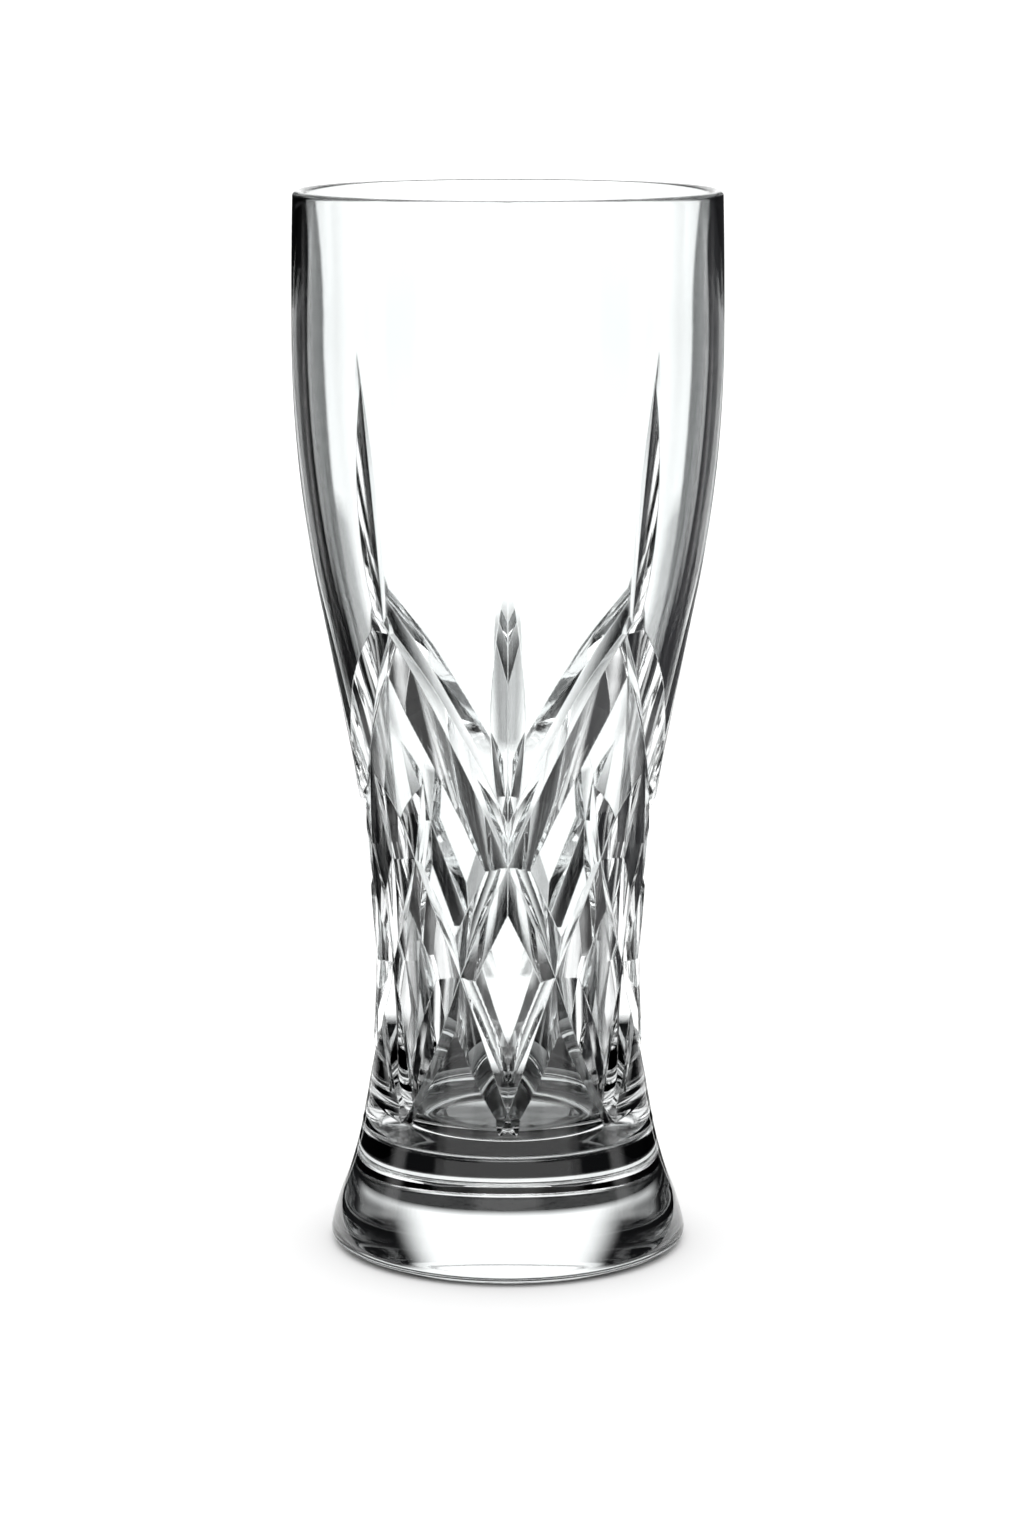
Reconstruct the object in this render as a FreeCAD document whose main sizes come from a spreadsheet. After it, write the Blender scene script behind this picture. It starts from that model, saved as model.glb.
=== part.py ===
import FreeCAD, Part
import math
import os
import Sketcher

V = FreeCAD.Vector
doc = FreeCAD.newDocument("cut_crystal_vase")

# ---------------------------------------------------------------- driving dimensions (mm, degrees)
sheet = doc.addObject("Spreadsheet::Sheet", "vase")
SIZES = [
    ("height", 220), ("seam_z", 25.4), ("seam_low_z", 17),
    ("waist_z", 54.8), ("waist_r", 27.8), ("stem_radius", 157.6), ("bell_radius", 264),
    ("taper_angle", 11.17), ("widest_z", 189.8), ("widest_r", 44.14), ("lip_radius", 1097),
    ("rim_radius", 1.1),
    ("well_r", 20.6), ("well_z", 45.5), ("well_corner", 6), ("floor_z", 25.2),
    ("inner_bell_radius", 270), ("inner_taper_angle", 12.9), ("inner_widest_z", 192),
    ("inner_widest_r", 40.5),
    ("foot_r", 37.25), ("foot_edge_z", 3), ("foot_edge_radius", 2), ("foot_flare_radius", 70),
    ("foot_belly_radius", 59), ("rest_inner_r", 29.5), ("punt_height", 1.5),
    ("leaf_count", 4),
    ("leaf_mid_z", 120), ("leaf_mid_r", 35.4), ("leaf_depth", 2.3), ("leaf_wheel_r", 138),
    ("leaf_lean", 11.2), ("leaf_v_half", 60),
    ("upleaf_mid_z", 160), ("upleaf_mid_r", 42.4), ("upleaf_depth", 1.5), ("upleaf_wheel_r", 175),
    ("upleaf_lean", 6.6), ("upleaf_v_half", 60),
    ("node_step", 22.5), ("node_b_z", 34), ("node_n_z", 61.5), ("node_x_z", 85),
    ("node_u_z", 132.7), ("node_u_front", 41), ("node_u_back", 128), ("tip_z", 103), ("tip_turn", 13),
    ("mitre_depth", 2.6), ("mitre_upper_depth", 2.9), ("mitre_end_depth", 1.7), ("mitre_v_half", 59),
    ("mitre_proud", 2.5),
]
for row, (alias, value) in enumerate(SIZES, start=1):
    sheet.set("A%d" % row, alias)
    sheet.set("B%d" % row, str(value))
    sheet.setAlias("B%d" % row, alias)
doc.recompute()


def size(alias):
    """A dimension read back from the sheet."""
    return float(sheet.get(alias))


def origin_plane(body, role):
    return [f for f in body.Origin.OriginFeatures if f.Role == role][0]


def new_sketch(body, name, role="XZ_Plane"):
    sketch = body.newObject("Sketcher::SketchObject", name)
    sketch.AttachmentSupport = (origin_plane(body, role), [""])
    sketch.MapMode = "FlatFace"
    return sketch


def drive(sketch, name, constraint, formula):
    """Adds a named constraint whose value follows a formula in the sheet's names."""
    index = sketch.addConstraint(constraint)
    sketch.renameConstraint(index, name)
    sketch.setExpression("Constraints." + name, formula)


def add_line(sketch, p, q):
    return sketch.addGeometry(Part.LineSegment(V(p[0], p[1], 0), V(q[0], q[1], 0)), False)


def add_arc(sketch, centre, p, q):
    """Anticlockwise arc from p to q; in the sketch p is its point 1 and q its point 2."""
    radius = math.hypot(p[0] - centre[0], p[1] - centre[1])
    start = math.atan2(p[1] - centre[1], p[0] - centre[0])
    end = math.atan2(q[1] - centre[1], q[0] - centre[0])
    circle = Part.Circle(V(centre[0], centre[1], 0), V(0, 0, 1), radius)
    return sketch.addGeometry(Part.ArcOfCircle(circle, start, end), False)


def tangent_wall(waist_r, waist_z, bell, angle, widest_r, widest_z):
    """Wall line as bell arc, straight taper and shoulder arc, all tangent: the two ends of the taper
    and the radius of the shoulder that meets the widest point upright."""
    c, s, t = math.cos(angle), math.sin(angle), math.tan(angle)
    low = (waist_r + bell * (1 - c), waist_z + bell * s)
    shoulder = (t * (widest_z - low[1]) - (widest_r - low[0])) / (1 / c - 1)
    high = (widest_r - shoulder * (1 - c), widest_z - shoulder * s)
    return low, high, shoulder


# ---------------------------------------------------------------- bowl: the blown blank
blank = doc.addObject("PartDesign::Body", "bowl_blank")
outline = new_sketch(blank, "bowl_outline")

seam_z, seam_low_z = size("seam_z"), size("seam_low_z")
waist_r, waist_z = size("waist_r"), size("waist_z")
stem_radius, bell_radius = size("stem_radius"), size("bell_radius")
widest_r, widest_z = size("widest_r"), size("widest_z")
rim_radius, height = size("rim_radius"), size("height")
seam_r = waist_r + stem_radius - math.sqrt(stem_radius ** 2 - (waist_z - seam_z) ** 2)
seam_drop = seam_z - seam_low_z
seam_radius = (seam_r ** 2 + seam_drop ** 2) / (2 * seam_drop)
taper_low, taper_high, shoulder_radius = tangent_wall(
    waist_r, waist_z, bell_radius, math.radians(size("taper_angle")), widest_r, widest_z)
well_r, well_z = size("well_r"), size("well_z")
well_corner, floor_z = size("well_corner"), size("floor_z")
inner_low, inner_high, inner_shoulder = tangent_wall(
    well_r, well_z, size("inner_bell_radius"), math.radians(size("inner_taper_angle")),
    size("inner_widest_r"), size("inner_widest_z"))
lip_radius = size("lip_radius")
rim_z = height - rim_radius
lip_r = widest_r - lip_radius + math.sqrt(lip_radius ** 2 - (rim_z - widest_z) ** 2)
inner_lip = (lip_r - 2 * rim_radius, rim_z)
inner_top = (size("inner_widest_r"), size("inner_widest_z"))
inner_flare = inner_lip[0] - inner_top[0]
inner_lip_radius = (inner_flare ** 2 + (rim_z - inner_top[1]) ** 2) / (2 * inner_flare)

g_seam = add_arc(outline, (0, seam_low_z + seam_radius), (0, seam_low_z), (seam_r, seam_z))
g_stem = add_arc(outline, (waist_r + stem_radius, waist_z), (waist_r, waist_z), (seam_r, seam_z))
g_bell = add_arc(outline, (waist_r + bell_radius, waist_z), taper_low, (waist_r, waist_z))
g_taper = add_line(outline, taper_low, taper_high)
g_shoulder = add_arc(outline, (widest_r - shoulder_radius, widest_z), taper_high, (widest_r, widest_z))
g_lip = add_arc(outline, (widest_r - lip_radius, widest_z), (widest_r, widest_z), (lip_r, rim_z))
g_rim = add_arc(outline, (lip_r - rim_radius, rim_z), (lip_r, rim_z), inner_lip)
g_inner_lip = add_arc(outline, (inner_top[0] + inner_lip_radius, inner_top[1]), inner_lip, inner_top)
g_inner_shoulder = add_arc(outline, (inner_top[0] - inner_shoulder, inner_top[1]), inner_high, inner_top)
g_inner_taper = add_line(outline, inner_low, inner_high)
g_inner_bell = add_arc(
    outline, (well_r + size("inner_bell_radius"), well_z), inner_low, (well_r, well_z))
g_well = add_line(outline, (well_r, well_z), (well_r, floor_z + well_corner))
g_corner = add_arc(outline, (well_r - well_corner, floor_z + well_corner),
                   (well_r - well_corner, floor_z), (well_r, floor_z + well_corner))
g_floor = add_line(outline, (well_r - well_corner, floor_z), (0, floor_z))
g_axis = add_line(outline, (0, floor_z), (0, seam_low_z))

C = Sketcher.Constraint
joins = [
    ("Coincident", g_seam, 2, g_stem, 2), ("Tangent", g_stem, 1, g_bell, 2),
    ("Tangent", g_bell, 1, g_taper, 1), ("Tangent", g_taper, 2, g_shoulder, 1),
    ("Tangent", g_shoulder, 2, g_lip, 1), ("Coincident", g_lip, 2, g_rim, 1),
    ("Coincident", g_rim, 2, g_inner_lip, 1), ("Tangent", g_inner_lip, 2, g_inner_shoulder, 2),
    ("Tangent", g_inner_shoulder, 1, g_inner_taper, 2), ("Tangent", g_inner_taper, 1, g_inner_bell, 1),
    ("Tangent", g_inner_bell, 2, g_well, 1), ("Tangent", g_well, 2, g_corner, 2),
    ("Tangent", g_corner, 1, g_floor, 1), ("Coincident", g_floor, 2, g_axis, 1),
    ("Coincident", g_axis, 2, g_seam, 1),
]
for join in joins:
    outline.addConstraint(C(*join))
outline.addConstraint(C("PointOnObject", g_seam, 3, -2))
outline.addConstraint(C("PointOnObject", g_seam, 1, -2))
outline.addConstraint(C("PointOnObject", g_floor, 2, -2))
outline.addConstraint(C("Horizontal", g_floor))
outline.addConstraint(C("Horizontal", g_rim, 1, g_rim, 2))
outline.addConstraint(C("Horizontal", g_rim, 3, g_rim, 1))
drive(outline, "seam_low", C("DistanceY", -1, 1, g_seam, 1, seam_low_z), "vase.seam_low_z")
drive(outline, "seam_up", C("DistanceY", -1, 1, g_seam, 2, seam_z), "vase.seam_z")
drive(outline, "waist_radius", C("DistanceX", -1, 1, g_stem, 1, waist_r), "vase.waist_r")
drive(outline, "waist_height", C("DistanceY", -1, 1, g_stem, 1, waist_z), "vase.waist_z")
outline.addConstraint(C("Horizontal", g_stem, 3, g_stem, 1))
drive(outline, "stem_arc", C("Radius", g_stem, stem_radius), "vase.stem_radius")
drive(outline, "bell_arc", C("Radius", g_bell, bell_radius), "vase.bell_radius")
drive(outline, "taper", C("Angle", g_taper, math.radians(90 - size("taper_angle"))),
      "(90 - vase.taper_angle) * 1 deg")
drive(outline, "widest_radius", C("DistanceX", -1, 1, g_lip, 1, widest_r), "vase.widest_r")
drive(outline, "widest_height", C("DistanceY", -1, 1, g_lip, 1, widest_z), "vase.widest_z")
outline.addConstraint(C("Horizontal", g_lip, 3, g_lip, 1))
drive(outline, "lip_arc", C("Radius", g_lip, lip_radius), "vase.lip_radius")
drive(outline, "rim_arc", C("Radius", g_rim, rim_radius), "vase.rim_radius")
drive(outline, "rim_height", C("DistanceY", -1, 1, g_rim, 1, rim_z), "vase.height - vase.rim_radius")
outline.addConstraint(C("Horizontal", g_inner_lip, 3, g_inner_lip, 2))
drive(outline, "inner_taper", C("Angle", g_inner_taper, math.radians(90 - size("inner_taper_angle"))),
      "(90 - vase.inner_taper_angle) * 1 deg")
drive(outline, "inner_radius", C("DistanceX", -1, 1, g_inner_lip, 2, inner_top[0]), "vase.inner_widest_r")
drive(outline, "inner_height", C("DistanceY", -1, 1, g_inner_lip, 2, inner_top[1]), "vase.inner_widest_z")
drive(outline, "inner_bell_arc", C("Radius", g_inner_bell, size("inner_bell_radius")),
      "vase.inner_bell_radius")
drive(outline, "well_radius", C("DistanceX", -1, 1, g_well, 1, well_r), "vase.well_r")
drive(outline, "well_height", C("DistanceY", -1, 1, g_well, 1, well_z), "vase.well_z")
drive(outline, "floor_height", C("DistanceY", -1, 1, g_floor, 2, floor_z), "vase.floor_z")
drive(outline, "corner_arc", C("Radius", g_corner, well_corner), "vase.well_corner")
doc.recompute()

blown = blank.newObject("PartDesign::Revolution", "blown_blank")
blown.Profile = outline
blown.ReferenceAxis = (outline, ["V_Axis"])
blown.Angle = 360
blank.Tip = blown
doc.recompute()


# ---------------------------------------------------------------- bowl: upright leaf cuts
def leaf_cut(name, key, turn):
    """One leaf cut by a wheel with a V edge. The sketch lies level through the middle of the wheel: a
    V that points at the wall, and the wheel's axle as the turning axis."""
    wheel_r, depth = size(key + "_wheel_r"), size(key + "_depth")
    lean = math.radians(size(key + "_lean"))
    centre_r = size(key + "_mid_r") + (wheel_r - depth) * math.cos(lean)
    open_r = centre_r - wheel_r + 3 * depth
    half = 3 * depth * math.tan(math.radians(size(key + "_v_half")))
    reach = "(vase.%s_wheel_r - vase.%s_depth)" % (key, key)
    centre = "vase.%s_mid_r + %s * cos(vase.%s_lean * 1 deg)" % (key, reach, key)

    sketch = new_sketch(blank, name + "_wheel", "XY_Plane")
    sketch.AttachmentOffset = FreeCAD.Placement(V(0, 0, 0), FreeCAD.Rotation(V(0, 0, 1), turn))
    sketch.setExpression(
        "AttachmentOffset.Base.z", "vase.%s_mid_z - %s * sin(vase.%s_lean * 1 deg)" % (key, reach, key))
    tip = centre_r - wheel_r
    left = add_line(sketch, (0, -tip), (-half, -open_r))
    back = add_line(sketch, (-half, -open_r), (half, -open_r))
    right = add_line(sketch, (half, -open_r), (0, -tip))
    axle = add_line(sketch, (-half, -centre_r), (half, -centre_r))
    sketch.toggleConstruction(axle)
    sketch.addConstraint(C("Coincident", left, 2, back, 1))
    sketch.addConstraint(C("Coincident", back, 2, right, 1))
    sketch.addConstraint(C("Coincident", right, 2, left, 1))
    sketch.addConstraint(C("PointOnObject", left, 1, -2))
    sketch.addConstraint(C("Symmetric", axle, 1, axle, 2, -2))
    sketch.addConstraint(C("Symmetric", back, 1, back, 2, -2))
    drive(sketch, "axle_reach", C("DistanceY", axle, 1, -1, 1, centre_r), centre)
    drive(sketch, "edge_reach", C("DistanceY", left, 1, -1, 1, tip), "%s - vase.%s_wheel_r" % (centre, key))
    drive(sketch, "v_height", C("DistanceY", left, 2, left, 1, 3 * depth), "3 * vase.%s_depth" % key)
    drive(sketch, "v_width", C("DistanceX", back, 1, back, 2, 2 * half),
          "6 * vase.%s_depth * tan(vase.%s_v_half * 1 deg)" % (key, key))
    drive(sketch, "axle_width", C("DistanceX", axle, 1, axle, 2, 2 * half),
          "6 * vase.%s_depth * tan(vase.%s_v_half * 1 deg)" % (key, key))

    cut = blank.newObject("PartDesign::Groove", name)
    cut.Profile = sketch
    cut.ReferenceAxis = (sketch, ["Axis0"])
    cut.Angle = 360
    blank.Tip = cut
    doc.recompute()
    return cut


front_leaf = leaf_cut("leaf_cut", "leaf", 0)
leaves = blank.newObject("PartDesign::PolarPattern", "leaf_cut_ring")
leaves.Originals = [front_leaf]
leaves.Axis = (outline, ["V_Axis"])
leaves.Angle = 360
leaves.setExpression("Occurrences", "vase.leaf_count")
blank.Tip = leaves
doc.recompute()

# The upper leaves stand on the U nodes, two right of the middle and two left.
upper_leaves = [
    leaf_cut("upper_leaf_cut_front", "upleaf", size("node_u_front")),
    leaf_cut("upper_leaf_cut_back", "upleaf", size("node_u_back")),
]
mirrored = blank.newObject("PartDesign::Mirrored", "upper_leaf_cuts_left")
mirrored.Originals = upper_leaves
mirrored.MirrorPlane = (origin_plane(blank, "YZ_Plane"), [""])
blank.Tip = mirrored
doc.recompute()


# ---------------------------------------------------------------- bowl: slanting mitre cuts
def wall(z):
    """Outer radius and lean (dr/dz) of the blank's wall at a height."""
    if z < waist_z:
        arm = math.sqrt(stem_radius ** 2 - (waist_z - z) ** 2)
        return waist_r + stem_radius - arm, (z - waist_z) / arm
    if z < taper_low[1]:
        arm = math.sqrt(bell_radius ** 2 - (z - waist_z) ** 2)
        return waist_r + bell_radius - arm, (z - waist_z) / arm
    if z < taper_high[1]:
        lean = math.tan(math.radians(size("taper_angle")))
        return taper_low[0] + lean * (z - taper_low[1]), lean
    arm = math.sqrt(shoulder_radius ** 2 - (widest_z - z) ** 2)
    return widest_r - shoulder_radius + arm, (widest_z - z) / arm


def on_wall(turn, z):
    r = wall(z)[0]
    return V(r * math.sin(turn), -r * math.cos(turn), z)


def mitre_section(turn, z, slope, depth):
    """V outline square to a cut that climbs `slope` mm per radian, `depth` mm into the wall."""
    r, lean = wall(z)
    outward = V(math.sin(turn), -math.cos(turn), -lean).normalize()
    ahead = on_wall(turn + 0.01, z + 0.01 * slope) - on_wall(turn - 0.01, z - 0.01 * slope)
    across = outward.cross(ahead).normalize()
    proud = size("mitre_proud")
    half = (depth + proud) * math.tan(math.radians(size("mitre_v_half")))
    point = on_wall(turn, z)
    tip = point - outward * depth
    mouth = point + outward * proud
    return Part.makePolygon([tip, mouth + across * half, mouth - across * half, tip])


def mitre(stations, start, hand):
    """Solid of one slanting cut, lofted through its stations (turn in degrees, height, depth)."""
    sections = []
    for i, (turn, z, depth) in enumerate(stations):
        before = stations[max(i - 1, 0)]
        after = stations[min(i + 1, len(stations) - 1)]
        slope = (after[1] - before[1]) / math.radians(after[0] - before[0])
        sections.append(mitre_section(math.radians(start + hand * turn), z, hand * slope, depth))
    return Part.makeLoft(sections, True, False)


step, full, thin = size("node_step"), size("mitre_depth"), size("mitre_end_depth")
b_z, n_z, x_z, u_z = size("node_b_z"), size("node_n_z"), size("node_x_z"), size("node_u_z")
lower_half = [
    (-4, b_z - 5, -0.4), (0, b_z, thin), (step / 2, (b_z + n_z) / 2, full), (step, n_z, full),
    (1.5 * step, (n_z + x_z) / 2, full), (2 * step, x_z, full),
]
short_end = [(2 * step + size("tip_turn"), size("tip_z"), -0.4)]
deep = size("mitre_upper_depth")
u_turns = [size("node_u_front"), size("node_u_back")]
u_turns += [360 - turn for turn in u_turns]


def long_end(span):
    """Stations of a cut that goes on from X to the U node, `span` degrees away."""
    rise = u_z - x_z
    return [
        (2 * step + span / 4, x_z + rise / 4, deep), (2 * step + span / 2, x_z + rise / 2, deep),
        (2 * step + 3 * span / 4, u_z - rise / 4, deep), (2 * step + span, u_z, thin),
        (2 * step + span + 3.5, u_z + 5.3, -0.4),
    ]


tools = []
for k in range(8):
    for hand in (1, -1):
        x_turn = 2 * step * (k + hand)
        span = min(hand * (turn - x_turn) % 360 for turn in u_turns)
        tail = short_end if x_turn % 90 else long_end(span)
        tools.append(mitre(lower_half + tail, 2 * step * k, hand))
mitre_cutters = doc.addObject("Part::Feature", "mitre_cutters")
mitre_cutters.Shape = Part.makeCompound(tools)
mitre_cutters.Placement = FreeCAD.Placement()

bowl = doc.addObject("Part::Feature", "bowl")
cut_shape = blank.Shape
for tool in tools:
    cut_shape = cut_shape.cut(tool)
bowl.Shape = cut_shape
bowl.Placement = FreeCAD.Placement()
bowl.Label = "bowl"

# ---------------------------------------------------------------- foot
foot = doc.addObject("PartDesign::Body", "foot")
foot_outline = new_sketch(foot, "foot_outline")
flare_radius, belly_radius = size("foot_flare_radius"), size("foot_belly_radius")
foot_r, foot_edge_z, edge_radius = size("foot_r"), size("foot_edge_z"), size("foot_edge_radius")
rest_inner_r, punt = size("rest_inner_r"), size("punt_height")

seam_lean = math.asin((waist_z - seam_z) / stem_radius)
flare_centre = V(seam_r + flare_radius * math.cos(seam_lean),
                 seam_z + flare_radius * math.sin(seam_lean), 0)
edge_point = V(foot_r, foot_edge_z, 0)
reach = flare_centre - edge_point
near = (reach.Length ** 2 + belly_radius ** 2 - (flare_radius + belly_radius) ** 2) / (2 * reach.Length)
side = math.sqrt(belly_radius ** 2 - near ** 2)
along = V(reach).normalize()
belly_centre = edge_point + along * near + V(-along.y, along.x, 0) * side
meeting = belly_centre + (flare_centre - belly_centre).normalize() * belly_radius
edge_out = (edge_point - belly_centre).normalize()
edge_centre = edge_point - edge_out * edge_radius
punt_radius = (rest_inner_r ** 2 + punt ** 2) / (2 * punt)

f_seam = add_arc(foot_outline, (0, seam_low_z + seam_radius), (0, seam_low_z), (seam_r, seam_z))
f_flare = add_arc(foot_outline, flare_centre, (seam_r, seam_z), meeting)
f_belly = add_arc(foot_outline, belly_centre, edge_point, meeting)
f_edge = add_arc(foot_outline, edge_centre, (edge_centre.x, 0), edge_point)
f_rest = add_line(foot_outline, (edge_centre.x, 0), (rest_inner_r, 0))
f_punt = add_arc(foot_outline, (0, punt - punt_radius), (rest_inner_r, 0), (0, punt))
f_axis = add_line(foot_outline, (0, punt), (0, seam_low_z))
for join in [
    ("Coincident", f_seam, 2, f_flare, 1), ("Tangent", f_flare, 2, f_belly, 2),
    ("Tangent", f_belly, 1, f_edge, 2), ("Tangent", f_edge, 1, f_rest, 1),
    ("Coincident", f_rest, 2, f_punt, 1), ("Coincident", f_punt, 2, f_axis, 1),
    ("Coincident", f_axis, 2, f_seam, 1), ("PointOnObject", f_seam, 3, -2),
    ("PointOnObject", f_seam, 1, -2), ("PointOnObject", f_punt, 3, -2),
    ("PointOnObject", f_punt, 2, -2), ("PointOnObject", f_rest, 1, -1),
    ("PointOnObject", f_rest, 2, -1),
]:
    foot_outline.addConstraint(C(*join))
drive(foot_outline, "seam_low", C("DistanceY", -1, 1, f_seam, 1, seam_low_z), "vase.seam_low_z")
drive(foot_outline, "seam_up", C("DistanceY", -1, 1, f_seam, 2, seam_z), "vase.seam_z")
drive(foot_outline, "seam_width", C("DistanceX", -1, 1, f_seam, 2, seam_r),
      "vase.waist_r + vase.stem_radius - sqrt(vase.stem_radius ^ 2 - (vase.waist_z - vase.seam_z) ^ 2)")
drive(foot_outline, "flare_height", C("DistanceY", -1, 1, f_flare, 3, flare_centre.y),
      "vase.seam_z + vase.foot_flare_radius * (vase.waist_z - vase.seam_z) / vase.stem_radius")
drive(foot_outline, "flare_arc", C("Radius", f_flare, flare_radius), "vase.foot_flare_radius")
drive(foot_outline, "belly_arc", C("Radius", f_belly, belly_radius), "vase.foot_belly_radius")
drive(foot_outline, "foot_radius", C("DistanceX", -1, 1, f_belly, 1, foot_r), "vase.foot_r")
drive(foot_outline, "edge_height", C("DistanceY", -1, 1, f_belly, 1, foot_edge_z), "vase.foot_edge_z")
drive(foot_outline, "rest_width", C("DistanceX", -1, 1, f_rest, 2, rest_inner_r), "vase.rest_inner_r")
drive(foot_outline, "punt_rise", C("DistanceY", -1, 1, f_punt, 2, punt), "vase.punt_height")
doc.recompute()
turned = foot.newObject("PartDesign::Revolution", "turned_foot")
turned.Profile = foot_outline
turned.ReferenceAxis = (foot_outline, ["V_Axis"])
turned.Angle = 360
foot.Tip = turned
foot.Label = "foot"
doc.recompute()

# ---------------------------------------------------------------- checks and export
for item in doc.Objects:
    if "Invalid" in item.State or "Error" in item.State:
        raise RuntimeError("%s is in state %s" % (item.Name, item.State))
os.makedirs("parts", exist_ok=True)
for piece in (bowl, foot):
    if piece.Shape.isNull() or not piece.Shape.isValid() or len(piece.Shape.Solids) != 1:
        raise RuntimeError("%s is not one valid solid" % piece.Label)
    piece.Shape.exportStep("parts/%s.step" % piece.Label)
    box = piece.Shape.BoundBox
    print(piece.Label, round(piece.Shape.Volume, 1), len(piece.Shape.Faces),
          [round(a, 3) for a in (box.XMin, box.XMax, box.YMin, box.YMax, box.ZMin, box.ZMax)])
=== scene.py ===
import math

import bpy
import numpy as np
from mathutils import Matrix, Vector


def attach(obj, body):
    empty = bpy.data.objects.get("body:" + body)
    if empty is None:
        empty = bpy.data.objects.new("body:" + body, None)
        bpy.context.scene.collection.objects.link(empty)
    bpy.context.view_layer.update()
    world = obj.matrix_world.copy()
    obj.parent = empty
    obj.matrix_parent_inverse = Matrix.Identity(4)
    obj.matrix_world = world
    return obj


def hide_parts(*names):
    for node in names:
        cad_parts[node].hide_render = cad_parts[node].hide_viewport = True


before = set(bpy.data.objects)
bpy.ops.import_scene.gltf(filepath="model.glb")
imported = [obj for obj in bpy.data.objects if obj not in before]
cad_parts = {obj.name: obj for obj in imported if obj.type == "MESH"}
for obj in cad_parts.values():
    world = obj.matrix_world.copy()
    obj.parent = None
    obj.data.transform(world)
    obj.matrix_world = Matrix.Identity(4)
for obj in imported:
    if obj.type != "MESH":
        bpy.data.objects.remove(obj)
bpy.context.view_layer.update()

# ------------------------------------------------------------------------------------------------
# Bowl. The blown vessel of clear lead crystal: a waisted wall with a fire-polished rim and a rounded
# well. The pattern is ground into its outside on V-edged wheels and then polished. It is fused to
# the foot over its whole rounded bottom.
MM = 0.001
# Outside, in mm from the axis and from the table: a stem arc from the seam to the waist, a bell arc above
# the waist, a straight taper, a shoulder arc out to the widest ring, and a slight arc in to the lip.
RIM_TOP = 220.0
RIM_ROUND = 1.1
SEAM_Z = 25.4
SEAM_LOW = 17.0
WAIST_R, WAIST_Z = 27.8, 54.8
STEM_ARC = 157.6
BELL_ARC = 264.0
TAPER = math.radians(11.17)
WIDEST_R, WIDEST_Z = 44.14, 189.8
LIP_ARC = 1097.0
# Inside: a flat floor with a rounded corner, an upright well, and then a bell arc, taper and shoulder.
WELL_R, WELL_Z = 20.6, 45.5
WELL_CORNER = 6.0
FLOOR_Z = 25.2
INNER_BELL_ARC = 270.0
INNER_TAPER = math.radians(12.9)
INNER_WIDEST_R, INNER_WIDEST_Z = 40.5, 192.0
# Notch of the crease, which rounds the skins of both pieces in towards the seam.
CREASE_DEPTH, CREASE_ROUND = 0.3, 0.7
CREASE_STEPS = 5
# Mesh spacing up the outside and the inside in mm, steps round each bend, and a radius that counts as zero.
OUTSIDE_STEP = 1.4
INSIDE_STEP = 1.6 * OUTSIDE_STEP
RIM_STEPS, CORNER_STEPS, FLOOR_STEPS = 16, 10, 8
BOWL_STEPS = 240
SEAM_STEPS = 24
ON_AXIS = 1e-6


def taper_between(waist_r, waist_z, bell, lean, wide_r, wide_z):
    """Both ends of the straight taper and the shoulder's radius, for a wall that runs as a bell arc, the
    taper and a shoulder arc that stands upright at its widest point."""
    c, s, t = math.cos(lean), math.sin(lean), math.tan(lean)
    low = (waist_r + bell * (1 - c), waist_z + bell * s)
    shoulder = (t * (wide_z - low[1]) - (wide_r - low[0])) / (1 / c - 1)
    return low, (wide_r - shoulder * (1 - c), wide_z - shoulder * s), shoulder


TAPER_LOW, TAPER_HIGH, SHOULDER = taper_between(WAIST_R, WAIST_Z, BELL_ARC, TAPER, WIDEST_R, WIDEST_Z)


def wall(z):
    """The outside's radius and lean (dr/dz) at a height, in mm."""
    if z < WAIST_Z:
        arm = math.sqrt(STEM_ARC ** 2 - (WAIST_Z - z) ** 2)
        return WAIST_R + STEM_ARC - arm, (z - WAIST_Z) / arm
    if z < TAPER_LOW[1]:
        arm = math.sqrt(BELL_ARC ** 2 - (z - WAIST_Z) ** 2)
        return WAIST_R + BELL_ARC - arm, (z - WAIST_Z) / arm
    if z < TAPER_HIGH[1]:
        return TAPER_LOW[0] + math.tan(TAPER) * (z - TAPER_LOW[1]), math.tan(TAPER)
    curve = SHOULDER if z < WIDEST_Z else LIP_ARC
    arm = math.sqrt(curve ** 2 - (WIDEST_Z - z) ** 2)
    return WIDEST_R - curve + arm, (WIDEST_Z - z) / arm


def inside(z):
    """The inside's radius at a height above the well's rounded corner, in mm."""
    low, high, shoulder = taper_between(
        WELL_R, WELL_Z, INNER_BELL_ARC, INNER_TAPER, INNER_WIDEST_R, INNER_WIDEST_Z)
    if z < WELL_Z:
        return WELL_R
    if z < low[1]:
        return WELL_R + INNER_BELL_ARC - math.sqrt(INNER_BELL_ARC ** 2 - (z - WELL_Z) ** 2)
    if z < high[1]:
        return low[0] + math.tan(INNER_TAPER) * (z - low[1])
    if z < INNER_WIDEST_Z:
        return INNER_WIDEST_R - shoulder + math.sqrt(shoulder ** 2 - (INNER_WIDEST_Z - z) ** 2)
    rim_z = RIM_TOP - RIM_ROUND
    flare = wall(rim_z)[0] - 2 * RIM_ROUND - INNER_WIDEST_R
    return INNER_WIDEST_R + flare * ((z - INNER_WIDEST_Z) / (rim_z - INNER_WIDEST_Z)) ** 2


def dish():
    """The fused seam, from the axis out to the crease: an arc on a centre straight above."""
    edge_r = wall(SEAM_Z)[0] - CREASE_DEPTH
    drop = SEAM_Z - SEAM_LOW
    radius = (edge_r ** 2 + drop ** 2) / (2 * drop)
    reach = math.asin(edge_r / radius)
    turns = [reach * i / SEAM_STEPS for i in range(SEAM_STEPS + 1)]
    return [(radius * math.sin(a), SEAM_LOW + radius * (1 - math.cos(a))) for a in turns]


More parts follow.
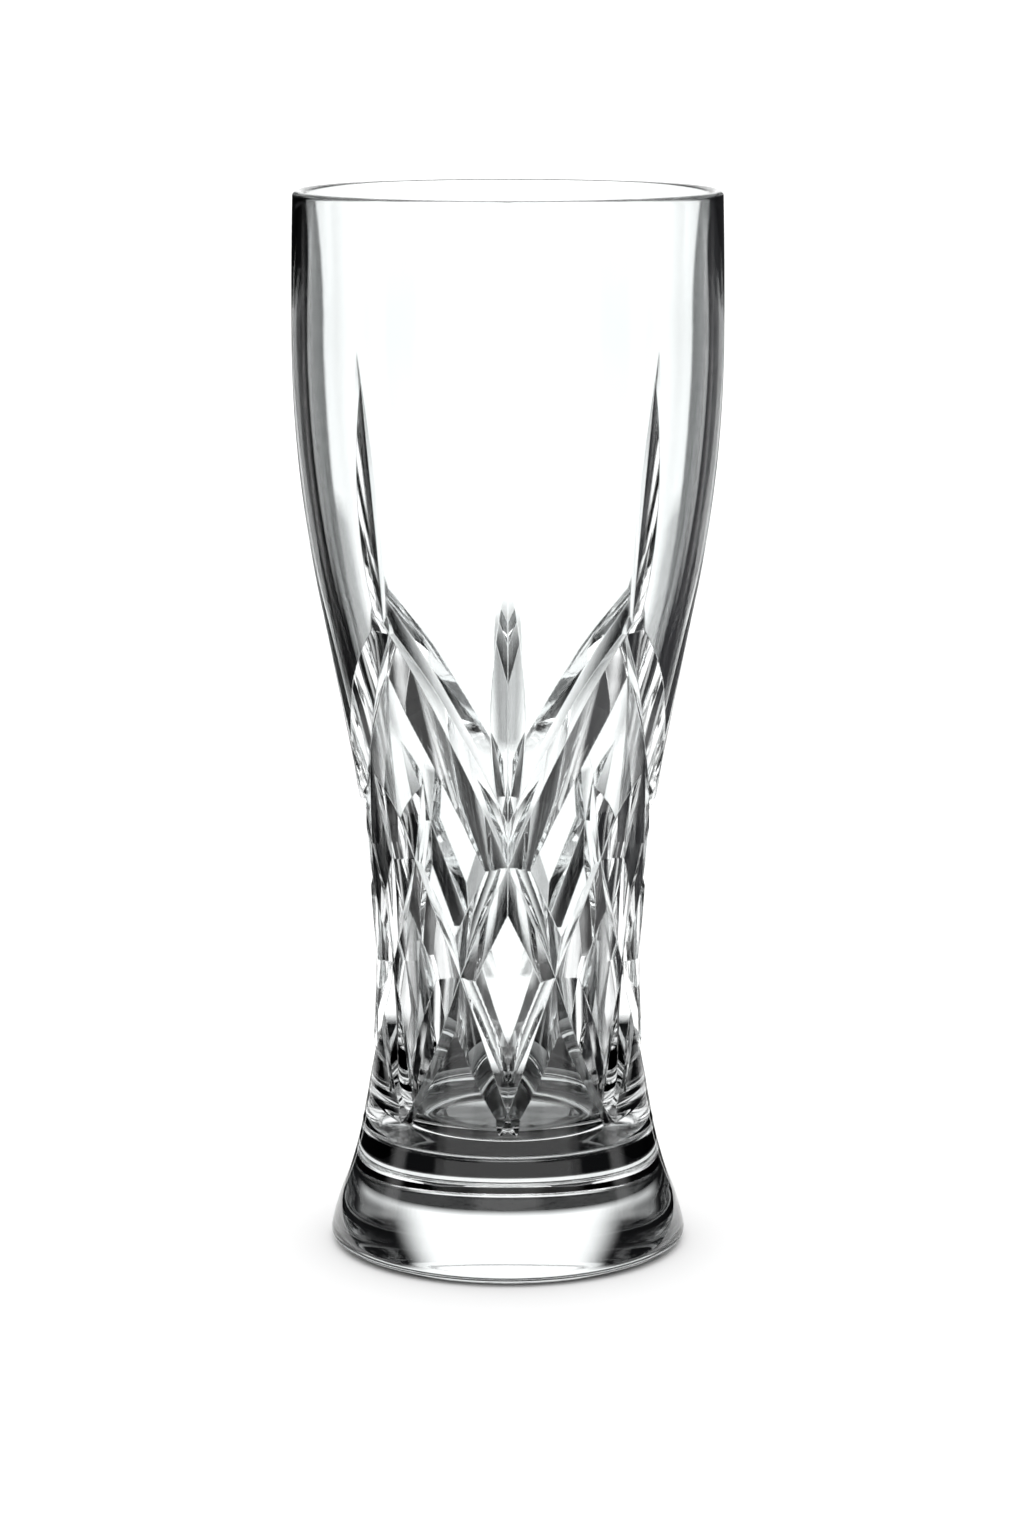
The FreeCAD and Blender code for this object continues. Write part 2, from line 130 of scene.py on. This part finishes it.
def crease_round(side):
    """Rounded shoulder beside the fused seam, from the crease outward: above it for 1, below for -1."""
    r = wall(SEAM_Z)[0] - CREASE_DEPTH
    quarter = [0.5 * math.pi * i / CREASE_STEPS for i in range(CREASE_STEPS)]
    return [(r + CREASE_DEPTH * math.sin(a), SEAM_Z + side * CREASE_ROUND * (1 - math.cos(a)))
            for a in quarter]


def bowl_skin():
    """The polished skin from the crease up the outside, over the rim and down to the well's middle."""
    rim_z = RIM_TOP - RIM_ROUND
    start = SEAM_Z + CREASE_ROUND
    rings = round((rim_z - start) / OUTSIDE_STEP)
    skin = crease_round(1)
    for i in range(rings):
        z = start + (rim_z - start) * i / rings
        skin.append((wall(z)[0], z))
    rim_r = wall(rim_z)[0] - RIM_ROUND
    for i in range(RIM_STEPS + 1):
        a = math.pi * i / RIM_STEPS
        skin.append((rim_r + RIM_ROUND * math.cos(a), rim_z + RIM_ROUND * math.sin(a)))
    well_top = FLOOR_Z + WELL_CORNER
    rings = round((rim_z - well_top) / INSIDE_STEP)
    for i in range(1, rings + 1):
        z = rim_z - (rim_z - well_top) * i / rings
        skin.append((inside(z), z))
    for i in range(1, CORNER_STEPS + 1):
        a = 0.5 * math.pi * i / CORNER_STEPS
        skin.append((WELL_R - WELL_CORNER * (1 - math.cos(a)), well_top - WELL_CORNER * math.sin(a)))
    for i in range(1, FLOOR_STEPS + 1):
        skin.append(((WELL_R - WELL_CORNER) * (1 - i / FLOOR_STEPS), FLOOR_Z))
    return skin


def turned(name, outline, steps, skin_from):
    """Closed mesh turned about the axis from an outline that starts and ends on it, in mm. Its faces up
    to outline point skin_from lie on the fused seam and get material slot 1."""
    verts, faces, slots = [], [], []
    rows = []
    for r, z in outline:
        if r < ON_AXIS:
            rows.append([len(verts)] * steps)
            verts.append((0, 0, z * MM))
            continue
        rows.append(list(range(len(verts), len(verts) + steps)))
        for k in range(steps):
            a = 2 * math.pi * k / steps
            verts.append((r * math.cos(a) * MM, r * math.sin(a) * MM, z * MM))
    for i in range(len(rows) - 1):
        low, high = rows[i], rows[i + 1]
        for k in range(steps):
            n = (k + 1) % steps
            ring = [low[k], low[n], high[n], high[k]]
            faces.append([v for j, v in enumerate(ring) if v != ring[j - 1]])
            slots.append(1 if i < skin_from else 0)
    mesh = bpy.data.meshes.new(name)
    mesh.from_pydata(verts, [], faces)
    mesh.polygons.foreach_set("material_index", slots)
    mesh.update()
    piece = bpy.data.objects.new(name, mesh)
    bpy.context.scene.collection.objects.link(piece)
    return piece


# The cuts. Turns are degrees round the axis from the front (-Y), positive to the right. Mitre cuts cross
# at four heights, from B at the foot of the pattern to U at the top. A cutter stands proud of the wall, and
# each track starts and ends clear of it, so that the cut runs out to nothing.
NODE_TURN = 22.5
X_TURN = 2 * NODE_TURN
B_Z, N_Z, X_Z, U_Z = 34.0, 61.5, 85.0, 132.7
U_TURNS = (41, 128, 232, 319)
LOW_DEPTH, HIGH_DEPTH = 2.55, 2.9
CUT_PROUD = 3.0
CLEAR = -0.4
LEAF_CLEAR = 0.35
SHORT_POINTS, LONG_POINTS, LEAF_POINTS = 70, 110, 40
MITRE_HALF = math.radians(59)
LEAF_HALF = math.radians(60)


def on_wall(turn, z):
    """Point on the outside at a turn in radians and a height."""
    r = wall(z)[0]
    return Vector((r * math.sin(turn), -r * math.cos(turn), z))


def v_cutter(name, tracks, half_angle):
    """One closed wedge along each track, which lists (turn in radians, height in mm, depth in mm)."""
    verts, faces = [], []
    for track in tracks:
        first = len(verts)
        for i, (turn, z, depth) in enumerate(track):
            before, after = track[max(i - 1, 0)], track[min(i + 1, len(track) - 1)]
            ahead = on_wall(after[0], after[1]) - on_wall(before[0], before[1])
            outward = Vector((math.sin(turn), -math.cos(turn), -wall(z)[1])).normalized()
            across = outward.cross(ahead).normalized()
            half = (depth + CUT_PROUD) * math.tan(half_angle)
            point = on_wall(turn, z)
            mouth = point + outward * CUT_PROUD
            verts += [point - outward * depth, mouth + across * half, mouth - across * half]
        rows = len(track)
        for i in range(rows - 1):
            a = first + 3 * i
            b = a + 3
            faces += [(a, a + 1, b + 1, b), (a + 1, a + 2, b + 2, b + 1), (a + 2, a, b, b + 2)]
        last = first + 3 * (rows - 1)
        faces += [(first, first + 2, first + 1), (last, last + 1, last + 2)]
    mesh = bpy.data.meshes.new(name)
    mesh.from_pydata([tuple(v * MM) for v in verts], [], faces)
    mesh.update()
    cutter = bpy.data.objects.new(name, mesh)
    bpy.context.scene.collection.objects.link(cutter)
    return cutter


def spline(knots, count):
    """Smooth track through (turn in degrees, height, depth) knots, as `count` points (Catmull-Rom)."""
    points = [knots[0]] + list(knots) + [knots[-1]]
    spans = len(knots) - 1
    track = []
    for i in range(count):
        at = min(spans * i / (count - 1), spans - 1e-9)
        k, t = int(at), at - int(at)
        p = points[k:k + 4]
        track.append(tuple(
            0.5 * (2 * p[1][j] + (p[2][j] - p[0][j]) * t
                   + (2 * p[0][j] - 5 * p[1][j] + 4 * p[2][j] - p[3][j]) * t * t
                   + (3 * p[1][j] - p[0][j] - 3 * p[2][j] + p[3][j]) * t ** 3)
            for j in range(3)))
    return track


def placed(track, start, hand=1):
    """A track in degrees moved round to `start`, mirrored if hand is -1, its turns in radians."""
    return [(math.radians(start + hand * turn), z, depth) for turn, z, depth in track]


# Slanting mitre cuts: each climbs from a low node through N and X, and every other one goes on to U.
mitre_low = [(-4, B_Z - 5, CLEAR), (0, B_Z, 1.6), (11.2, 47.7, LOW_DEPTH), (NODE_TURN, N_Z, LOW_DEPTH),
             (33.8, 73.2, LOW_DEPTH), (X_TURN, X_Z, 2.7)]
mitre_short = spline(mitre_low + [(52, 95, 1.9), (59, 104, CLEAR)], SHORT_POINTS)


def mitre_long(span):
    """Track of a mitre that goes on from X to a U node `span` degrees away."""
    climb = [(X_TURN + span * 0.25, 97, HIGH_DEPTH), (X_TURN + span * 0.5, 109, HIGH_DEPTH),
             (X_TURN + span * 0.75, 121, HIGH_DEPTH), (X_TURN + span, U_Z, 1.9),
             (X_TURN + 3 + span, 138, CLEAR)]
    return spline(mitre_low + climb, LONG_POINTS)


def mitres(hand):
    """The eight mitres that climb to the right (hand 1) or to the left (hand -1). Those whose X node lies
    at the front, a side or the back go on to the next U node."""
    tracks = []
    for k in range(8):
        x_turn = X_TURN * (k + hand)
        span = min(hand * (u - x_turn) % 360 for u in U_TURNS)
        tracks.append(placed(mitre_short if x_turn % 90 else mitre_long(span), X_TURN * k, hand))
    return tracks


def leaf(z_low, z_high, depth, belly):
    """Upright leaf cut that is deepest at `belly` of its length and runs out at both ends."""
    track = []
    for i in range(LEAF_POINTS):
        t = i / (LEAF_POINTS - 1)
        s = t ** (math.log(0.5) / math.log(belly))
        swell = 1 - (2 * s - 1) ** 2
        track.append((0, z_low + (z_high - z_low) * t, (depth + LEAF_CLEAR) * swell - LEAF_CLEAR))
    return track


front_leaf = leaf(94, 151, 2.2, belly=0.36)
upper_leaf = leaf(130, 188, 1.7, belly=0.42)
cutters = [
    v_cutter("mitres_right", mitres(1), MITRE_HALF),
    v_cutter("mitres_left", mitres(-1), MITRE_HALF),
    v_cutter("front_leaves", [placed(front_leaf, 90 * k) for k in range(4)], LEAF_HALF),
    v_cutter("upper_leaves", [placed(upper_leaf, turn) for turn in U_TURNS], LEAF_HALF),
]

seam = dish()
skin = bowl_skin()
blank = turned("bowl_crystal", seam[:-1] + skin, BOWL_STEPS, len(seam) - 1)


def rgb(code):
    """sRGB hex colour as the linear RGBA that a shader socket takes."""
    parts = [int(code[i:i + 2], 16) / 255 for i in (1, 3, 5)]
    return tuple(c / 12.92 if c <= 0.04045 else ((c + 0.055) / 1.055) ** 2.4 for c in parts) + (1.0,)


def node(tree, kind, links=(), **settings):
    """Adds a shader node, sets its properties and sockets by name, and links (output, input) pairs."""
    made = tree.nodes.new(kind)
    for key, value in settings.items():
        if hasattr(made, key):
            setattr(made, key, value)
        else:
            made.inputs[key.replace("_", " ")].default_value = value
    for source, socket in links:
        tree.links.new(source, made.inputs[socket])
    return made


LEAD_CRYSTAL_IOR = 1.545
ARRIS_ROUND = 0.3
FILM_PATCH = 18


def crystal(name, tint, ripple_length, ripple_height, haziest):
    """Clear lead crystal, in mm: faint ripples left in the glass, edges that polishing has softened, and
    a film of handling that makes it a trace less glossy in patches, up to the haziest roughness."""
    material = bpy.data.materials.new(name)
    material.use_nodes = True
    tree = material.node_tree
    tree.nodes.clear()
    place = node(tree, "ShaderNodeTexCoord")
    ripple = node(tree, "ShaderNodeTexNoise", [(place.outputs["Object"], "Vector")],
                  Scale=1 / (ripple_length * MM), Detail=2.0)
    edge = node(tree, "ShaderNodeBevel", Radius=ARRIS_ROUND * MM, samples=4)
    bump = node(tree, "ShaderNodeBump",
                [(ripple.outputs["Fac"], "Height"), (edge.outputs["Normal"], "Normal")],
                Strength=1.0, Distance=ripple_height * MM)
    film = node(tree, "ShaderNodeTexNoise", [(place.outputs["Object"], "Vector")],
                Scale=1 / (FILM_PATCH * MM), Detail=5.0)
    haze = node(tree, "ShaderNodeMapRange", [(film.outputs["Fac"], "Value")],
                From_Min=0.35, From_Max=0.75, To_Min=0.0, To_Max=haziest)
    glass = node(tree, "ShaderNodeBsdfPrincipled",
                 [(bump.outputs["Normal"], "Normal"), (haze.outputs["Result"], "Roughness")],
                 Base_Color=rgb(tint), IOR=LEAD_CRYSTAL_IOR, Transmission_Weight=1.0)
    node(tree, "ShaderNodeOutputMaterial", [(glass.outputs["BSDF"], "Surface")])
    return material


def fused_seam():
    """The fused seam is solid glass right through, so light crosses it without bending."""
    material = bpy.data.materials.new("fused_seam")
    material.use_nodes = True
    tree = material.node_tree
    tree.nodes.clear()
    clear = node(tree, "ShaderNodeBsdfTransparent")
    node(tree, "ShaderNodeOutputMaterial", [(clear.outputs["BSDF"], "Surface")])
    return material


# Fire-polished skin: brilliant and colourless, with long, barely visible waves from blowing.
blown_crystal = crystal("blown_lead_crystal", "#FBFDFD", 14, 0.012, 0.012)
seam_glass = fused_seam()
# Wheel-cut facets after polishing: the same crystal, with shorter, shallower ripples from the wheel and a
# trace more haze.
cut_crystal = crystal("wheel_cut_lead_crystal", "#FBFDFD", 5, 0.006, 0.02)

# The pattern is ground out of the blank. Each cutter brings the cut finish to the faces that it leaves.
blank.data.materials.append(blown_crystal)
blank.data.materials.append(seam_glass)
blank.data.materials.append(cut_crystal)
for cutter in cutters:
    cutter.data.materials.append(cut_crystal)
    cut = blank.modifiers.new(cutter.name, "BOOLEAN")
    cut.operation = "DIFFERENCE"
    cut.solver = "MANIFOLD"
    cut.object = cutter
    cut.material_mode = "TRANSFER"
bpy.context.view_layer.update()
cut_mesh = bpy.data.meshes.new_from_object(
    blank.evaluated_get(bpy.context.evaluated_depsgraph_get()))
blank.modifiers.clear()
blank.data = cut_mesh
cut_mesh.name = "bowl_crystal"
for cutter in cutters:
    spare = cutter.data
    bpy.data.objects.remove(cutter)
    bpy.data.meshes.remove(spare)


SHARP_FROM = math.radians(14)
SKIN_PARTS = 8
BATCH = 4000


def polish(mesh, chain):
    """Sharp edges where cuts meet, and exact normals of the turned skin on every face outside the
    cuts, so that its reflections and refractions run smooth up to each cut's edge."""
    count = len(mesh.polygons)
    slots = np.empty(count, int)
    mesh.polygons.foreach_get("material_index", slots)
    normals = np.empty(count * 3)
    mesh.polygons.foreach_get("normal", normals)
    normals = normals.reshape(-1, 3)
    totals = np.empty(count, int)
    mesh.polygons.foreach_get("loop_total", totals)
    owner = np.repeat(np.arange(count), totals)
    loop_edges = np.empty(len(mesh.loops), int)
    mesh.loops.foreach_get("edge_index", loop_edges)
    order = np.argsort(loop_edges, kind="stable")
    first, second = owner[order[0::2]], owner[order[1::2]]
    turn = np.einsum("ij,ij->i", normals[first], normals[second])
    sharp = (slots[first] != slots[second]) | (turn < math.cos(SHARP_FROM))
    mesh.polygons.foreach_set("use_smooth", np.ones(count, bool))
    mesh.edges.foreach_set("use_edge_sharp", sharp)

    points = np.empty(len(mesh.vertices) * 3)
    mesh.vertices.foreach_get("co", points)
    points = points.reshape(-1, 3) / MM
    radius = np.hypot(points[:, 0], points[:, 1])
    outline = np.array(chain)
    ahead = np.gradient(outline, axis=0)
    lean = np.stack([ahead[:, 1], -ahead[:, 0]], axis=1)
    lean /= np.linalg.norm(lean, axis=1)[:, None]
    nearest = np.empty(len(points), int)
    for start in range(0, len(points), BATCH):
        part = slice(start, start + BATCH)
        across = radius[part, None] - outline[None, :, 0]
        up = points[part, 2, None] - outline[None, :, 1]
        nearest[part] = (across ** 2 + up ** 2).argmin(axis=1)
    exact = np.zeros((len(points), 3))
    safe = np.maximum(radius, ON_AXIS)
    exact[:, 0] = lean[nearest, 0] * points[:, 0] / safe
    exact[:, 1] = lean[nearest, 0] * points[:, 1] / safe
    exact[:, 2] = lean[nearest, 1]
    corner = np.empty(len(mesh.loops), int)
    mesh.loops.foreach_get("vertex_index", corner)
    given = np.where((slots[owner] == 0)[:, None], exact[corner], 0.0)
    mesh.normals_split_custom_set(given.tolist())


fine_skin = []
for (r0, z0), (r1, z1) in zip(skin, skin[1:]):
    for i in range(SKIN_PARTS):
        fine_skin.append((r0 + (r1 - r0) * i / SKIN_PARTS, z0 + (z1 - z0) * i / SKIN_PARTS))
fine_skin.append(skin[-1])
polish(cut_mesh, fine_skin)

bowl = blank
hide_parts("bowl")
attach(bowl, "root")

# ------------------------------------------------------------------------------------------------
# Foot. A gather of the same crystal, pressed and turned to a flared solid foot while hot and fused
# under the bowl. Its rest ring is ground flat and polished, with a shallow punt inside it.
# In mm: a hollow flare arc from the crease and a rounded belly arc meet on a common tangent, then a
# small round leads to the flat rest ring.
FLARE_ARC = 70.0
BELLY_ARC = 59.0
FOOT_R, FOOT_EDGE_Z = 37.25, 3.0
FOOT_EDGE_ROUND = 2.0
REST_INNER_R = 29.5
PUNT_RISE = 1.5
FLARE_STEPS, BELLY_STEPS, EDGE_STEPS, REST_STEPS, PUNT_STEPS = 24, 20, 14, 6, 24
FOOT_STEPS = 256


def arc(centre, start, end, count):
    """Points along the arc round centre from start to end, the short way, end included."""
    a = math.atan2(start[1] - centre[1], start[0] - centre[0])
    b = math.atan2(end[1] - centre[1], end[0] - centre[0])
    b = a + math.remainder(b - a, 2 * math.pi)
    radius = math.dist(start, centre)
    return [(centre[0] + radius * math.cos(a + (b - a) * i / count),
             centre[1] + radius * math.sin(a + (b - a) * i / count)) for i in range(1, count + 1)]


def foot_skin():
    """From the crease down the flare, round the edge, across the rest ring and up into the punt."""
    crease = (wall(SEAM_Z - CREASE_ROUND)[0], SEAM_Z - CREASE_ROUND)
    lean = math.asin((WAIST_Z - SEAM_Z) / STEM_ARC)
    flare = (wall(SEAM_Z)[0] + FLARE_ARC * math.cos(lean), SEAM_Z + FLARE_ARC * math.sin(lean))
    reach = Vector((flare[0] - FOOT_R, flare[1] - FOOT_EDGE_Z))
    near = (reach.length ** 2 + BELLY_ARC ** 2 - (FLARE_ARC + BELLY_ARC) ** 2) / (2 * reach.length)
    side = math.sqrt(BELLY_ARC ** 2 - near ** 2)
    along = reach.normalized()
    belly = (FOOT_R + along.x * near - along.y * side, FOOT_EDGE_Z + along.y * near + along.x * side)
    share = BELLY_ARC / (FLARE_ARC + BELLY_ARC)
    meeting = (belly[0] + (flare[0] - belly[0]) * share, belly[1] + (flare[1] - belly[1]) * share)
    out = Vector((FOOT_R - belly[0], FOOT_EDGE_Z - belly[1])).normalized()
    edge = (FOOT_R - out.x * FOOT_EDGE_ROUND, FOOT_EDGE_Z - out.y * FOOT_EDGE_ROUND)
    punt = (REST_INNER_R ** 2 + PUNT_RISE ** 2) / (2 * PUNT_RISE)
    skin = crease_round(-1) + [crease]
    skin += arc(flare, crease, meeting, FLARE_STEPS)
    skin += arc(belly, meeting, (FOOT_R, FOOT_EDGE_Z), BELLY_STEPS)
    skin += arc(edge, (FOOT_R, FOOT_EDGE_Z), (edge[0], 0), EDGE_STEPS)
    skin += [(edge[0] + (REST_INNER_R - edge[0]) * i / REST_STEPS, 0) for i in range(1, REST_STEPS + 1)]
    skin += arc((0, PUNT_RISE - punt), (REST_INNER_R, 0), (0, PUNT_RISE), PUNT_STEPS)
    return skin


under_skin = foot_skin()
foot = turned("foot_crystal", seam[:-1] + under_skin, FOOT_STEPS, len(seam) - 1)
foot.data.flip_normals()
# Pressed and turned solid: a trace deeper in colour for its thickness, with broad, soft waves.
pressed_crystal = crystal("pressed_lead_crystal", "#F8FBFB", 22, 0.02, 0.015)
foot.data.materials.append(pressed_crystal)
foot.data.materials.append(seam_glass)
foot.data.polygons.foreach_set("use_smooth", np.ones(len(foot.data.polygons), bool))
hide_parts("foot")
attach(foot, "root")

# ------------------------------------------------------------------------------------------------
# Table and light. A matt white board under an even white surround and an overhead softbox. Dark cards and
# louvred screens stand round the vase, and the crystal draws them as its dark edges and facets.
TABLE_HALF = 3.0
SURROUND = 1.2

# Matt white board: near-white, with no gloss.
white_board = bpy.data.materials.new("matt_white_board")
white_board.use_nodes = True
board_paint = white_board.node_tree.nodes["Principled BSDF"]
board_paint.inputs["Base Color"].default_value = rgb("#F4F4F4")
board_paint.inputs["Roughness"].default_value = 0.9
board = bpy.data.meshes.new("table")
board.from_pydata([(-TABLE_HALF, -TABLE_HALF, 0), (TABLE_HALF, -TABLE_HALF, 0),
                   (TABLE_HALF, TABLE_HALF, 0), (-TABLE_HALF, TABLE_HALF, 0)], [], [(0, 1, 2, 3)])
table = bpy.data.objects.new("table", board)
bpy.context.scene.collection.objects.link(table)
table.data.materials.append(white_board)

world = bpy.data.worlds.new("studio")
bpy.context.scene.world = world
world.use_nodes = True
sky = world.node_tree
sky.nodes.clear()
glow = node(sky, "ShaderNodeBackground", Color=(1.0, 1.0, 1.0, 1.0), Strength=SURROUND)
node(sky, "ShaderNodeOutputWorld", [(glow.outputs["Background"], "Surface")])


def ease(x):
    """Smooth step from 0 to 1."""
    x = min(max(x, 0.0), 1.0)
    return x * x * (3 - 2 * x)


def card_paint(name, code, opens=None):
    """Card painted with a glow of its own colour, so that it shows that grey whatever light falls on it.
    Its edge fades out by the strength stored in its mesh. A louvred card also has an `opens` list of
    (cosine, opacity): how much it stops of light that meets its blades at that slant."""
    material = bpy.data.materials.new(name)
    material.use_nodes = True
    tree = material.node_tree
    tree.nodes.clear()
    strength = node(tree, "ShaderNodeAttribute", attribute_name="shade")
    opacity = strength.outputs["Fac"]
    if opens:
        slant = node(tree, "ShaderNodeLayerWeight", Blend=0.5)
        blades = node(tree, "ShaderNodeFloatCurve", [(slant.outputs["Facing"], "Value")])
        curve = blades.mapping.curves[0]
        curve.points[0].location = (0, opens[-1][1])
        curve.points[1].location = (1, opens[0][1])
        for cosine, stopped in opens:
            curve.points.new(1 - cosine, stopped).handle_type = "VECTOR"
        blades.mapping.update()
        both = node(tree, "ShaderNodeMath", [(opacity, 0), (blades.outputs["Value"], 1)],
                    operation="MULTIPLY")
        opacity = both.outputs["Value"]
    clear = node(tree, "ShaderNodeBsdfTransparent")
    # Painted glow: the card shows its own grey as emission, not as light from the lamps falling on it.
    paint = node(tree, "ShaderNodeEmission", Color=rgb(code), Strength=1.0)
    mixed = node(tree, "ShaderNodeMixShader",
                 [(opacity, 0), (clear.outputs["BSDF"], 1), (paint.outputs["Emission"], 2)])
    node(tree, "ShaderNodeOutputMaterial", [(mixed.outputs["Shader"], "Surface")])
    return material


def card(name, rows, shades, material):
    """Dark card on a grid of points. Only the crystal sees it: it is out of the camera's picture and
    throws no shade on the table."""
    wide = len(rows[0])
    verts = [p for row in rows for p in row]
    faces = []
    for i in range(len(rows) - 1):
        for k in range(wide - 1):
            a = i * wide + k
            faces.append((a, a + 1, a + wide + 1, a + wide))
    mesh = bpy.data.meshes.new(name)
    mesh.from_pydata(verts, [], faces)
    shade = mesh.attributes.new("shade", "FLOAT", "POINT")
    shade.data.foreach_set("value", [v for row in shades for v in row])
    made = bpy.data.objects.new(name, mesh)
    bpy.context.scene.collection.objects.link(made)
    made.data.materials.append(material)
    made.visible_camera = False
    made.visible_diffuse = False
    made.visible_shadow = False


CARD_STEPS = 40


def round_card(name, start, end, fade, points, material, strength=1.0):
    """Card bent round the vase between two turns (degrees from straight behind, positive to the right),
    on an outline of (reach, height, shade) points, reach and height in metres, with faded ends."""
    turns = [start + (end - start) * i / CARD_STEPS for i in range(CARD_STEPS + 1)]
    ends = [strength * ease((t - start) / fade) * ease((end - t) / fade) for t in turns]
    ring = [(math.sin(math.radians(t)), math.cos(math.radians(t))) for t in turns]
    card(name, [[(reach * x, reach * y, z) for x, y in ring] for reach, z, shade in points],
         [[shade * e for e in ends] for reach, z, shade in points], material)


# Louvred screens, in metres: how far out they stand, half their width, their lower edge, the spacing and
# number of their rows, the steps across each half, and how far their sides and lower edge fade in.
SCREEN_REACH, SCREEN_HALF = 0.053, 0.056
SCREEN_FOOT, SCREEN_ROW, SCREEN_ROWS = 0.02, 0.01, 22
HALF_STEPS = 20
SIDE_FADE, FOOT_FADE = 0.008, 0.02


def screen(name, turn, material):
    """Upright louvred screen close beside the vase, square to the given turn."""
    c, s = math.cos(math.radians(turn)), math.sin(math.radians(turn))
    heights = [SCREEN_FOOT + SCREEN_ROW * i for i in range(SCREEN_ROWS)]
    across = [SCREEN_HALF * i / HALF_STEPS for i in range(-HALF_STEPS, HALF_STEPS + 1)]
    sides = [ease((SCREEN_HALF - abs(x)) / SIDE_FADE) for x in across]
    card(name, [[(SCREEN_REACH * s + x * c, SCREEN_REACH * c - x * s, z) for x in across] for z in heights],
         [[side * ease((z - SCREEN_FOOT) / FOOT_FADE) for side in sides] for z in heights], material)


# What the louvres stop, by the cosine of the slant. A screen stops light that meets it at a slant and is
# clear seen straight through. A tray stops the slants between two limits.
LOUVRE = [(0.61, 1.0), (0.67, 0.0)]
TRAY = [(0.28, 0.0), (0.36, 1.0), (0.74, 1.0), (0.82, 0.0)]
# Black and dark grey papers, their grey painted as a glow that no lamp sets: they give the crystal its dark
# lines, and the grey ones soften the right.
black_louvre = card_paint("black_louvre", "#111112", LOUVRE)
grey_louvre = card_paint("grey_louvre", "#343436", LOUVRE)
black_tray = card_paint("black_tray", "#111112", TRAY)
black_card = card_paint("black_card", "#111112")
grey_card = card_paint("grey_card", "#2A2A2C")
# Outlines as (reach, height, shade): a high card, a tray that lies flat, a low strip that lies flat and
# turns up at its far end, a fence round the foot, and a far flag that lies flat and turns up high.
HIGH = [(0.6, 0.12, 0), (0.6, 0.2, 1), (0.6, 0.6, 1), (0.6, 0.75, 0.5), (0.6, 0.9, 0)]
FLAT = [(0.08, 0.001, 0), (0.11, 0.001, 1), (0.3, 0.001, 1), (0.55, 0.001, 1), (0.6, 0.001, 0)]
LOW = [(0.38, 0.002, 0), (0.42, 0.002, 1), (0.6, 0.002, 1), (0.6, 0.045, 1), (0.6, 0.06, 0)]
FENCE = [(0.08, 0.001, 1), (0.08, 0.012, 1), (0.08, 0.017, 1), (0.08, 0.022, 0)]
FAR = [(0.12, 0.003, 0), (0.16, 0.003, 1), (0.4, 0.003, 1), (0.6, 0.003, 1), (0.6, 0.3, 1), (0.6, 0.45, 0)]
FENCE_FADE = 0.01
round_card("flag_right", 40, 90, 11, FAR, grey_card)
round_card("flag_left", -90, -40, 11, FAR, black_card)
round_card("flag_back_right", 94, 128, 6, FAR, black_card)
round_card("flag_back_left", -128, -94, 6, FAR, black_card)
for side in range(4):
    behind = 90 * side
    screen("screen_%d" % side, behind, grey_louvre if side == 1 else black_louvre)
    round_card("high_%d" % side, behind + 17, behind + 73, 13, HIGH, black_card)
    round_card("flat_%d" % side, behind + 17, behind + 73, 10, FLAT, black_tray)
    round_card("strip_right_%d" % side, behind + 14, behind + 29, 4, LOW, black_card, strength=0.5)
    round_card("strip_left_%d" % side, behind - 29, behind - 14, 4, LOW, black_card, strength=0.62)
    round_card("fence_%d" % side, behind - 45, behind + 45, FENCE_FADE, FENCE, black_card)
# Painted shadow round the foot: a ring of the tray paint on the table that only the crystal sees. It is
# dark to 50 mm and faded out by 150 mm, and stands in for the shade that the vase throws round its foot.
FOOT_SHADOW_LIFT = 0.0006
FOOT_SHADOW_DARK, FOOT_SHADOW_FADE = 0.05, 0.1
foot_shadow_turns = [math.radians(5 * i) for i in range(73)]
foot_shadow_reach = [0.037, 0.05, 0.07, 0.1, 0.13, 0.17, 0.21]
card("painted_foot_shadow", [[(r * math.sin(a), r * math.cos(a), FOOT_SHADOW_LIFT) for a in foot_shadow_turns] for r in foot_shadow_reach],
     [[1 - ease((r - FOOT_SHADOW_DARK) / FOOT_SHADOW_FADE)] * len(foot_shadow_turns) for r in foot_shadow_reach], black_tray)

overhead = bpy.data.lights.new("overhead_softbox", "AREA")
overhead.shape = "SQUARE"
overhead.size = 2.4
overhead.energy = 22
overhead_box = bpy.data.objects.new("overhead_softbox", overhead)
bpy.context.scene.collection.objects.link(overhead_box)
overhead_box.location = (0, 0.4, 2.2)

# ------------------------------------------------------------------------------------------------
# Camera: a long lens a little above the rim, looking slightly down at the vase. Distances in metres.
CAMERA_BACK, CAMERA_UP = 0.8686, 0.2655
CAMERA_DIP = math.radians(10.744)
BOUNCES = 24

lens = bpy.data.cameras.new("camera")
lens.lens = 99.7
lens.sensor_width = 36
lens.shift_x = 0.00266927
lens.clip_end = 50
camera = bpy.data.objects.new("camera", lens)
bpy.context.scene.collection.objects.link(camera)
camera.location = (0, -CAMERA_BACK, CAMERA_UP)
camera.rotation_euler = (math.radians(90) - CAMERA_DIP, 0, 0)
bpy.context.scene.camera = camera

# Light crosses many facets on its way through the crystal, so its paths are allowed to run long.
scene = bpy.context.scene
scene.view_settings.view_transform = "Standard"
scene.cycles.caustics_refractive = False
scene.cycles.caustics_reflective = False
scene.cycles.max_bounces = BOUNCES
scene.cycles.transmission_bounces = BOUNCES
scene.cycles.glossy_bounces = BOUNCES
scene.cycles.transparent_max_bounces = BOUNCES
